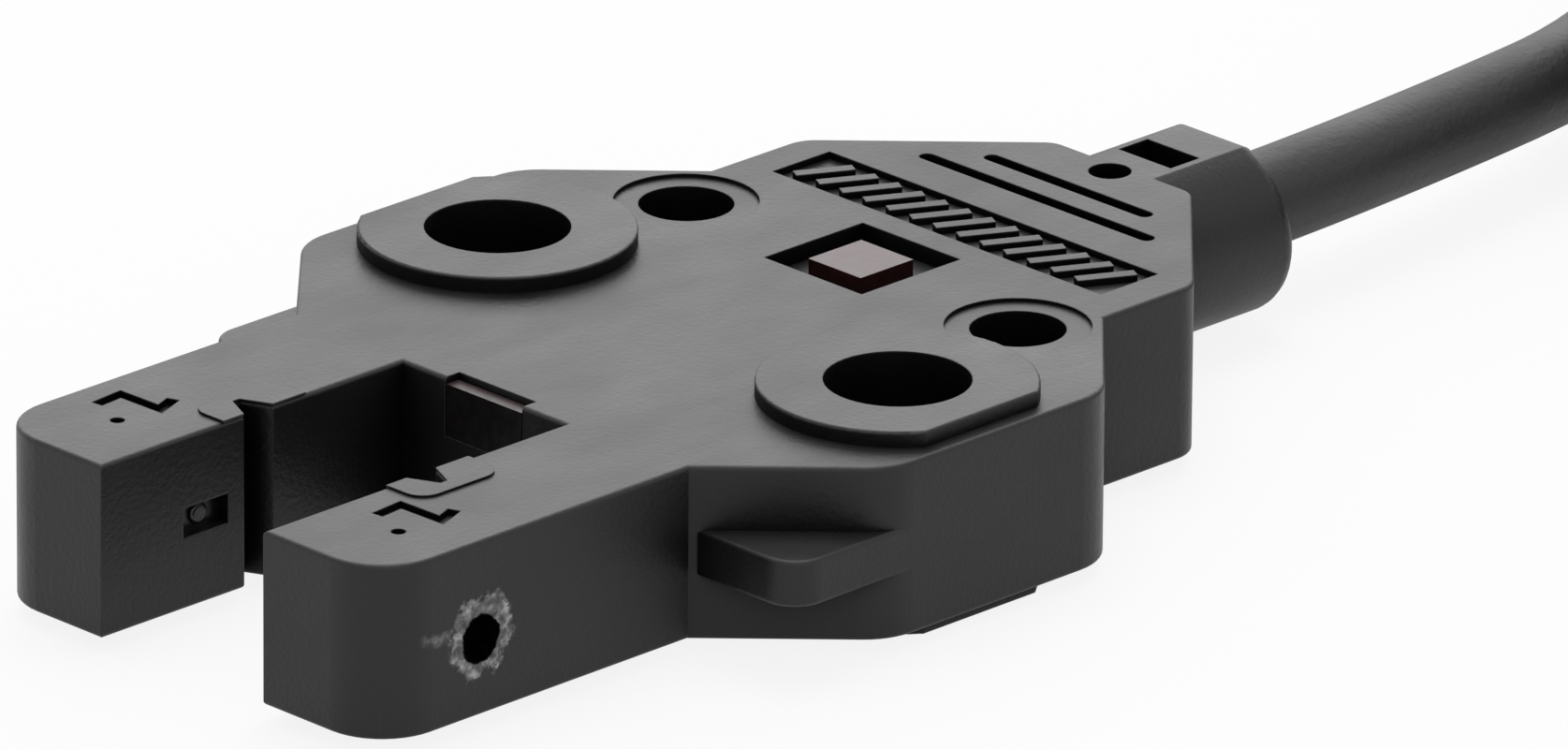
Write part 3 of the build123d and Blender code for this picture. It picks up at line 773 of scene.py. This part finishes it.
def plain_finish(name, colour, roughness, speck_size, metallic=0.0, coat=0.0):
    """A small piece's finish: its colour, speckled and slightly uneven in gloss, with fine relief."""
    material, tree = new_material(name)
    coords = object_coords(tree)
    shader = node(tree, "ShaderNodeBsdfPrincipled")
    shader.inputs["Metallic"].default_value = metallic
    shader.inputs["Coat Weight"].default_value = coat
    grains = noise(tree, coords, 1 / speck_size, *SPECK_NOISE)
    dark, pale = shaded(colour, 1 - SPECK_SHARE), shaded(colour, 1 + SPECK_SHARE)
    link(tree, mixed(tree, ramp(tree, grains, *NARROW), dark, pale), (shader, "Base Color"))
    gloss = combined(tree, "ADD", ramp(tree, grains, *WIDE, *SPECK_GLOSS), roughness)
    link(tree, gloss, (shader, "Roughness"))
    link(tree, bump(tree, grains, SPECK_BUMP, speck_size * SPECK_DEPTH), (shader, "Normal"))
    finish_shader(tree, shader)
    return material


def dress(names, material):
    """Gives CAD nodes one material."""
    for name in names:
        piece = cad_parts[name]
        if not piece.material_slots:
            piece.data.materials.append(material)
        for slot in piece.material_slots:
            slot.material = material


def dress_all(finishes):
    """Gives each row's nodes the plain finish that the row describes."""
    for names, title, colour, roughness, speck_size, more in finishes:
        dress(names, plain_finish(title, colour, roughness, speck_size, **more))


def settings():
    """The scene's settings."""
    return bpy.context.scene.fork_sensor


def surface_mesh(name, grids):
    """One mesh of several grids of points, each given as (spots[i, j], closed along i, closed along j).

    The faces come from whole index arrays. A grid's row or column that falls together is merged into a pole,
    and the normals of closed shells are turned outwards.
    """
    spots, faces, first = [], [], 0
    for grid, closed_i, closed_j in grids:
        rows, columns = grid.shape[:2]
        i = np.arange(rows if closed_i else rows - 1)[:, None]
        j = np.arange(columns if closed_j else columns - 1)[None, :]
        i2, j2 = (i + 1) % rows, (j + 1) % columns
        quads = np.stack(
            (i * columns + j, i2 * columns + j, i2 * columns + j2, i * columns + j2), axis=-1
        )
        faces.append(quads.reshape(-1, 4) + first)
        spots.append(grid.reshape(-1, 3))
        first += rows * columns
    mesh = bpy.data.meshes.new(name)
    mesh.from_pydata(np.concatenate(spots).tolist(), [], np.concatenate(faces).tolist())
    made = bmesh.new()
    made.from_mesh(mesh)
    bmesh.ops.remove_doubles(made, verts=made.verts, dist=MERGE_DISTANCE)
    bmesh.ops.recalc_face_normals(made, faces=made.faces)
    made.to_mesh(mesh)
    made.free()
    mesh.polygons.foreach_set("use_smooth", np.ones(len(mesh.polygons), dtype=bool))
    mesh.set_sharp_from_angle(angle=SHARP_ANGLE)
    piece = bpy.data.objects.new(name, mesh)
    bpy.context.scene.collection.objects.link(piece)
    return piece


# Camera, tie and cable


class FORK_OT_camera(bpy.types.Operator):
    """Set the camera at the photograph's viewing angle"""

    bl_idname = "fork.camera"
    bl_label = "Camera"

    def execute(self, context):
        stage = settings().stage
        around, above = stage.azimuth, stage.elevation
        back = Vector((
            math.sin(around) * math.cos(above),
            -math.cos(around) * math.cos(above),
            math.sin(above),
        ))
        right = Vector((math.cos(around), math.sin(around), 0))
        up = back.cross(right)
        right_rolled = right * math.cos(stage.roll) + up * math.sin(stage.roll)
        up_rolled = up * math.cos(stage.roll) - right * math.sin(stage.roll)
        turn = Matrix((right_rolled, up_rolled, back)).transposed().to_4x4()
        data = bpy.data.cameras.new("camera")
        data.sensor_width = SENSOR_WIDTH
        data.lens = stage.lens
        data.clip_start = CLIP_NEAR
        data.clip_end = CLIP_FAR
        camera = bpy.data.objects.new("camera", data)
        camera.matrix_world = Matrix.Translation(Vector(stage.aim) + back * stage.distance) @ turn
        context.scene.collection.objects.link(camera)
        context.scene.camera = camera
        return {"FINISHED"}


def coil_frame(cable):
    """The coil's axis, its first angle and the radius of its first turn, from the route's last run."""
    last = np.array(CABLE_ROUTE[-1]) * MM
    way = last - np.array(CABLE_ROUTE[-2]) * MM
    way /= np.hypot(way[0], way[1])
    first_r = cable.coil_radius + (cable.columns - 1) * cable.diameter / 2
    entry = last + way * cable.lead_in
    to_axis = np.array((way[1], -way[0], 0))
    axis = entry + to_axis * first_r
    return axis, math.atan2(-to_axis[1], -to_axis[0]), first_r


def coil_points(cable):
    """Control points of the coil's turns.

    Clockwise turns: a column rises or falls one diameter a turn, and between two columns one more turn moves
    inwards by a diameter, as the sine of a quarter circle. Radii are divided by the cosine of half a step,
    because the spline runs inside its control points.
    """
    axis, first_angle, first_r = coil_frame(cable)
    steps = cable.turn_points
    low = axis[2]
    rise = (cable.rows - 1) * cable.diameter
    radii, heights = [], []
    part = np.arange(steps) / steps
    for column in range(cable.columns):
        r = first_r - column * cable.diameter
        climb = np.arange(steps * (cable.rows - 1)) / steps * cable.diameter
        level = climb if column % 2 == 0 else rise - climb
        radii.append(np.full(level.size, r))
        heights.append(level)
        if column < cable.columns - 1:
            radii.append(r - cable.diameter * np.sin(part * math.pi / 2))
            heights.append(np.full(steps, rise if column % 2 == 0 else 0.0))
    extra = (first_angle - cable.lead_out_angle) % (2 * math.pi)
    spare = np.arange(0, extra, 2 * math.pi / steps)
    radii.append(np.full(spare.size, first_r - (cable.columns - 1) * cable.diameter))
    heights.append(np.zeros(spare.size))
    radii = np.concatenate(radii) / math.cos(math.pi / steps)
    heights = np.concatenate(heights) + low
    angles = first_angle - (np.arange(radii.size) + 0.5) * 2 * math.pi / steps
    return np.stack((axis[0] + radii * np.cos(angles), axis[1] + radii * np.sin(angles), heights), axis=1)


def cable_end(cable):
    """Where the sheath's straight end starts and stops, inside the coil."""
    axis, _, first_r = coil_frame(cable)
    last_r = first_r - (cable.columns - 1) * cable.diameter
    angle = cable.lead_out_angle
    leave = axis + np.array((math.cos(angle), math.sin(angle), 0)) * last_r
    heading = angle - math.pi / 2 - cable.lead_out_turn
    way = np.array((math.cos(heading), math.sin(heading), 0))
    return leave, leave + way * cable.lead_out, way


def spline_curve(name, spots, radius):
    """A round cord on one smooth open spline with the given control points."""
    data = bpy.data.curves.new(name, "CURVE")
    data.dimensions = "3D"
    data.bevel_depth = radius
    data.bevel_resolution = CORD_ROUNDING
    data.resolution_u = CORD_STEPS
    data.use_fill_caps = True
    spline = data.splines.new("NURBS")
    spline.points.add(len(spots) - 1)
    flat = np.ones((len(spots), 4))
    flat[:, :3] = spots
    spline.points.foreach_set("co", flat.ravel())
    spline.order_u = QUADRATIC
    spline.use_endpoint_u = True
    piece = bpy.data.objects.new(name, data)
    bpy.context.scene.collection.objects.link(piece)
    return piece


def rounded_loop(half_width, half_height, radius, count):
    """Even points round a rectangle with rounded corners, the turn of each normal, and the lengths there.

    Each corner is a quarter circle about its own centre. Length, place and turn are worked out along the
    corners and read off at even steps, so the straight sides come by themselves between two corners.
    """
    turn = (np.arange(4)[:, None] + np.linspace(0, 1, CORNER_POINTS)) * math.pi / 2
    x = (half_width - radius) * np.array((1, -1, -1, 1))[:, None] + radius * np.cos(turn)
    y = (half_height - radius) * np.array((1, 1, -1, -1))[:, None] + radius * np.sin(turn)
    closings = ((x, x[0, 0]), (y, y[0, 0]), (turn, 2 * math.pi))
    x, y, turn = (np.append(values.ravel(), last) for values, last in closings)
    length = np.append(0, np.cumsum(np.hypot(np.diff(x), np.diff(y))))
    even = np.linspace(0, length[-1], count, endpoint=False)
    return np.interp(even, length, x), np.interp(even, length, y), np.interp(even, length, turn), even


def strap_section(tie, along):
    """The strap's section at each length along it: across the strap, and out from its inner face.

    Two smooth rims, and between them a channel whose teeth rise and fall as a clipped sine of the length.
    """
    across = np.array(STRAP_ACROSS) * tie.width / 2
    tooth = np.clip(0.5 + TOOTH_STEEPNESS * np.sin(2 * math.pi * along / tie.tooth), 0, 1)
    channel = np.array(STRAP_CHANNEL) * (CHANNEL_HEIGHT + TOOTH_HEIGHT * tooth)[:, None]
    out = (np.array(STRAP_RIMS) + channel) * tie.thickness
    return np.broadcast_to(across, out.shape), out


class FORK_OT_tie(bpy.types.Operator):
    """Make the toothed tie round the coil, with its head and its cut tail"""

    bl_idname = "fork.tie"
    bl_label = "Tie"

    def execute(self, context):
        cable, tie = settings().cable, settings().tie
        axis, _, _ = coil_frame(cable)
        outwards = np.array((math.cos(tie.angle), math.sin(tie.angle), 0))
        beside = np.array((-outwards[1], outwards[0], 0))
        upwards = np.array((0, 0, 1))
        bundle = np.array((cable.columns, cable.rows)) * cable.diameter / 2
        middle = axis + outwards * cable.coil_radius + upwards * (cable.rows - 1) * cable.diameter / 2

        def placed(out, across, up):
            """Points in the model's frame, given outwards from the bundle's middle, beside it and up."""
            return middle + out[..., None] * outwards + across[..., None] * beside + up[..., None] * upwards

        # Strap: its section carried round the bundle's outline, the outline pushed out along its normal
        corner = cable.diameter / 2 + tie.slack / 2
        sides = (bundle[0] + tie.slack, bundle[1] + tie.slack / 2)
        x, z, turn, along = rounded_loop(*sides, corner, STRAP_POINTS)
        across, height = strap_section(tie, along * STRAP_TEETH * tie.tooth / along[-1])
        strap = placed(
            x[:, None] + height * np.cos(turn)[:, None], across, z[:, None] + height * np.sin(turn)[:, None]
        )
        # Head: a rounded outline that narrows at its front edge, with the pawl's window sunk into the front
        seat = bundle[0] + tie.slack + tie.thickness
        wide, high, deep = np.array(tie.head) / (2, 2, 1)
        rings = np.array(HEAD_RINGS)
        outline_x, outline_z, _, _ = rounded_loop(wide, high, HEAD_CORNER, HEAD_POINTS)
        head = placed(
            seat - HEAD_SUNK + rings[:, :1] * deep + 0 * outline_x,
            rings[:, 1:] * outline_x,
            rings[:, 1:] * outline_z,
        )
        # Tail: the section carried upwards out of the head on a shallow curve, and closed at both ends
        reach = np.linspace(0, tie.tail + high / 2, TAIL_STEPS)
        across, height = strap_section(tie, reach)
        ends = np.ones_like(reach)
        ends[[0, -1]] = 0
        bow = seat + TAIL_LEAVES * deep + TAIL_BOW * reach**2
        tail = placed(
            bow[:, None] + (height - tie.thickness / 2) * ends[:, None],
            across * TAIL_SHARE * ends[:, None],
            high / 2 + reach[:, None] + 0 * height,
        )
        grids = [(strap, True, True), (head, False, True), (tail, False, True)]
        piece = surface_mesh("toothed_tie", grids)
        piece.data.materials.append(plain_finish("tie nylon", tie.nylon, TIE_ROUGHNESS, TIE_SPECKS))
        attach(piece, BODY)
        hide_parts("coil_tie")
        return {"FINISHED"}


class FORK_OT_cable(bpy.types.Operator):
    """Make the sheathed cable, from inside the outlet to the end of its coil"""

    bl_idname = "fork.cable"
    bl_label = "Cable"

    def execute(self, context):
        cable = settings().cable
        route = np.array(CABLE_ROUTE) * MM
        leave, end, way = cable_end(cable)
        coil = coil_points(cable)
        spots = np.concatenate((route, coil, [leave, end - way * cable.lead_out / 2, end]))
        piece = spline_curve("sheathed_cable", spots, cable.diameter / 2)
        piece.data.materials.append(sheath_material(cable))
        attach(piece, BODY)
        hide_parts("cable", "cable_coil")
        on_cord = [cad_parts[colour + "_wire_end"] for colour in WIRE_COLOURS]
        on_cord += [bpy.data.objects["toothed_tie"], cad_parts["tinned_ends"]]
        return {"FINISHED"}


def sheath_material(cable):
    """Soft vinyl: fine skin grain, and smudges in its colour and gloss."""
    material, tree = new_material("sheath vinyl")
    coords = object_coords(tree)
    shader = node(tree, "ShaderNodeBsdfPrincipled")
    skin = noise(tree, coords, *NOISES["skin"])
    smudges = noise(tree, coords, *NOISES["smudges"])
    dark, pale = (shaded(cable.sheath, share) for share in SHEATH_SHADES)
    link(tree, mixed(tree, ramp(tree, smudges, *LOPSIDED), dark, pale), (shader, "Base Color"))
    link(tree, ramp(tree, smudges, *WIDE, *SHEATH_ROUGHNESS), (shader, "Roughness"))
    link(tree, bump(tree, skin, *SHEATH_BUMP), (shader, "Normal"))
    finish_shader(tree, shader)
    return material


# Housing


class FORK_OT_housing(bpy.types.Operator):
    """Give the case and its base cover their moulded plastic"""

    bl_idname = "fork.housing"
    bl_label = "Housing"

    def execute(self, context):
        housing = settings().housing
        dress(["case"], moulded_plastic("case plastic", housing, scuffed=True))
        dress(["base_cover"], moulded_plastic("cover plastic", housing, shade=0.85, rougher=0.06))
        return {"FINISHED"}


class FORK_OT_optics(bpy.types.Operator):
    """Give the light guide, the windows and what lies behind them their clear plastics"""

    bl_idname = "fork.optics"
    bl_label = "Optics"

    def execute(self, context):
        dress(["light_guide"], guide_material())
        dress_all(OPTICS_FINISHES)
        return {"FINISHED"}


def guide_material():
    """Clear dark red plastic with frosted grain: faces that point up get pale pink painted light and the sides
    dark painted shade, on the post and on the strip, and the strip is darker than the post.
    """
    material, tree = new_material("guide plastic")
    coords = object_coords(tree)
    shader = node(tree, "ShaderNodeBsdfPrincipled")
    shader.inputs["Specular IOR Level"].default_value = GUIDE_SPECULAR
    # Painted light on faces that point up and painted shade on the sides, for the post and for the strip
    up = ramp(tree, upward_part(tree), *GUIDE_UP)
    post = ramp(tree, along_axis(tree, coords, 1), *POST_EDGE)
    frost = noise(tree, coords, *NOISES["frost"])
    grains = ramp(tree, frost, *NARROW)
    pale = mixed(tree, grains, *GUIDE_TOP_PAINTED_LIGHT)
    deep = mixed(tree, grains, *GUIDE_SIDES_PAINTED_SHADE)
    strip = mixed(tree, up, *GUIDE_STRIP_SHADE_AND_LIGHT)
    link(tree, mixed(tree, post, strip, mixed(tree, up, deep, pale)), (shader, "Base Color"))
    link(tree, ramp(tree, frost, *WIDE, *GUIDE_ROUGHNESS), (shader, "Roughness"))
    link(tree, bump(tree, frost, *GUIDE_BUMP), (shader, "Normal"))
    finish_shader(tree, shader)
    return material


class FORK_OT_board(bpy.types.Operator):
    """Give the circuit board, its chips, solder, crimp and leads their finishes"""

    bl_idname = "fork.board"
    bl_label = "Circuit board"

    def execute(self, context):
        dress_all(BOARD_FINISHES)
        return {"FINISHED"}


class FORK_OT_wires(bpy.types.Operator):
    """Give the cable's cores and their tinned ends their finishes"""

    bl_idname = "fork.wires"
    bl_label = "Wires"

    def execute(self, context):
        dress_all(WIRE_FINISHES)
        return {"FINISHED"}


# Stage


def floor_material(stage):
    """Pale matt floor that the camera sees as near white, with the object's shadow on it."""
    material, tree = new_material("pale floor")
    shade = node(tree, "ShaderNodeBsdfDiffuse", in_Color=rgba(stage.floor))
    glow = node(tree, "ShaderNodeEmission", in_Color=WHITE, in_Strength=1.0)
    rays = node(tree, "ShaderNodeLightPath")
    either = combined(tree, "MAXIMUM", (rays, "Is Glossy Ray"), (rays, "Is Transmission Ray"))
    in_gloss = combined(tree, "MULTIPLY", either, stage.floor_in_gloss)
    by_camera = combined(tree, "MULTIPLY", (rays, "Is Camera Ray"), stage.floor_seen)
    seen = combined(tree, "MAXIMUM", in_gloss, by_camera)
    finish_shader(tree, blended(tree, seen, shade, glow))
    return material


def soft_lamp(name, aim, direction, distance, size, watts):
    """A rectangular area lamp that points at a place from a direction."""
    data = bpy.data.lights.new(name, "AREA")
    data.shape = "RECTANGLE"
    data.size, data.size_y = size
    data.energy = watts
    lamp = bpy.data.objects.new(name, data)
    away = Vector(direction).normalized()
    lamp.location = Vector(aim) + away * distance
    lamp.rotation_euler = away.to_track_quat("Z", "Y").to_euler()
    bpy.context.scene.collection.objects.link(lamp)


class FORK_OT_stage(bpy.types.Operator):
    """Make the floor, the lamps and the world"""

    bl_idname = "fork.stage"
    bl_label = "Stage"

    def execute(self, context):
        stage = settings().stage
        span = np.linspace(-FLOOR_HALF, FLOOR_HALF, FLOOR_POINTS)
        x, y = np.meshgrid(span, span, indexing="ij")
        floor = surface_mesh("floor", [(np.stack((x, y, 0 * x), axis=-1), False, False)])
        floor.data.materials.append(floor_material(stage))

        for name, direction, distance, size, watts in LAMPS:
            soft_lamp(name, stage.aim, direction, distance, size, watts)

        world = bpy.data.worlds.new("world")
        world.use_nodes = True
        tree = world.node_tree
        tree.nodes.clear()
        light = node(tree, "ShaderNodeBackground", in_Color=WHITE, in_Strength=stage.world)
        seen = node(tree, "ShaderNodeBackground", in_Color=WHITE, in_Strength=1.0)
        rays = node(tree, "ShaderNodeLightPath")
        either = combined(tree, "MAXIMUM", (rays, "Is Camera Ray"), (rays, "Is Glossy Ray"))
        either = combined(tree, "MAXIMUM", either, (rays, "Is Transmission Ray"))
        out = node(tree, "ShaderNodeOutputWorld")
        link(tree, (blended(tree, either, light, seen), 0), (out, "Surface"))
        context.scene.world = world
        context.scene.view_settings.view_transform = "Standard"
        return {"FINISHED"}


class SensorSettings(bpy.types.PropertyGroup):
    """All settings of the fork sensor."""

    housing: bpy.props.PointerProperty(type=HousingSettings)
    cable: bpy.props.PointerProperty(type=CableSettings)
    tie: bpy.props.PointerProperty(type=TieSettings)
    stage: bpy.props.PointerProperty(type=StageSettings)


OPERATORS = (
    FORK_OT_camera,
    FORK_OT_tie,
    FORK_OT_cable,
    FORK_OT_housing,
    FORK_OT_optics,
    FORK_OT_board,
    FORK_OT_wires,
    FORK_OT_stage,
)


class FORK_PT_panel(bpy.types.Panel):
    """Lists the sensor's operators and settings"""

    bl_label = "Fork sensor"
    bl_idname = "FORK_PT_panel"
    bl_space_type = "VIEW_3D"
    bl_region_type = "UI"
    bl_category = "Fork sensor"

    def draw(self, context):
        column = self.layout.column()
        for operator in OPERATORS:
            column.operator(operator.bl_idname)
        for group in (settings().housing, settings().cable, settings().tie, settings().stage):
            box = column.box()
            for name in group.bl_rna.properties.keys():
                if name not in ("rna_type", "name"):
                    box.prop(group, name)


CLASSES = (
    HousingSettings,
    CableSettings,
    TieSettings,
    StageSettings,
    SensorSettings,
    *OPERATORS,
    FORK_PT_panel,
)


def register():
    """Registers the classes and the settings."""
    for item in CLASSES:
        bpy.utils.register_class(item)
    bpy.types.Scene.fork_sensor = bpy.props.PointerProperty(type=SensorSettings)


def unregister():
    """Takes the settings and the classes out again."""
    del bpy.types.Scene.fork_sensor
    for item in reversed(CLASSES):
        bpy.utils.unregister_class(item)


def main():
    """Registers the add-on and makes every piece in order."""
    register()
    bpy.ops.fork.camera()
    bpy.ops.fork.tie()
    bpy.ops.fork.cable()
    bpy.ops.fork.housing()
    bpy.ops.fork.optics()
    bpy.ops.fork.board()
    bpy.ops.fork.wires()
    bpy.ops.fork.stage()


if __name__ == "__main__":
    main()
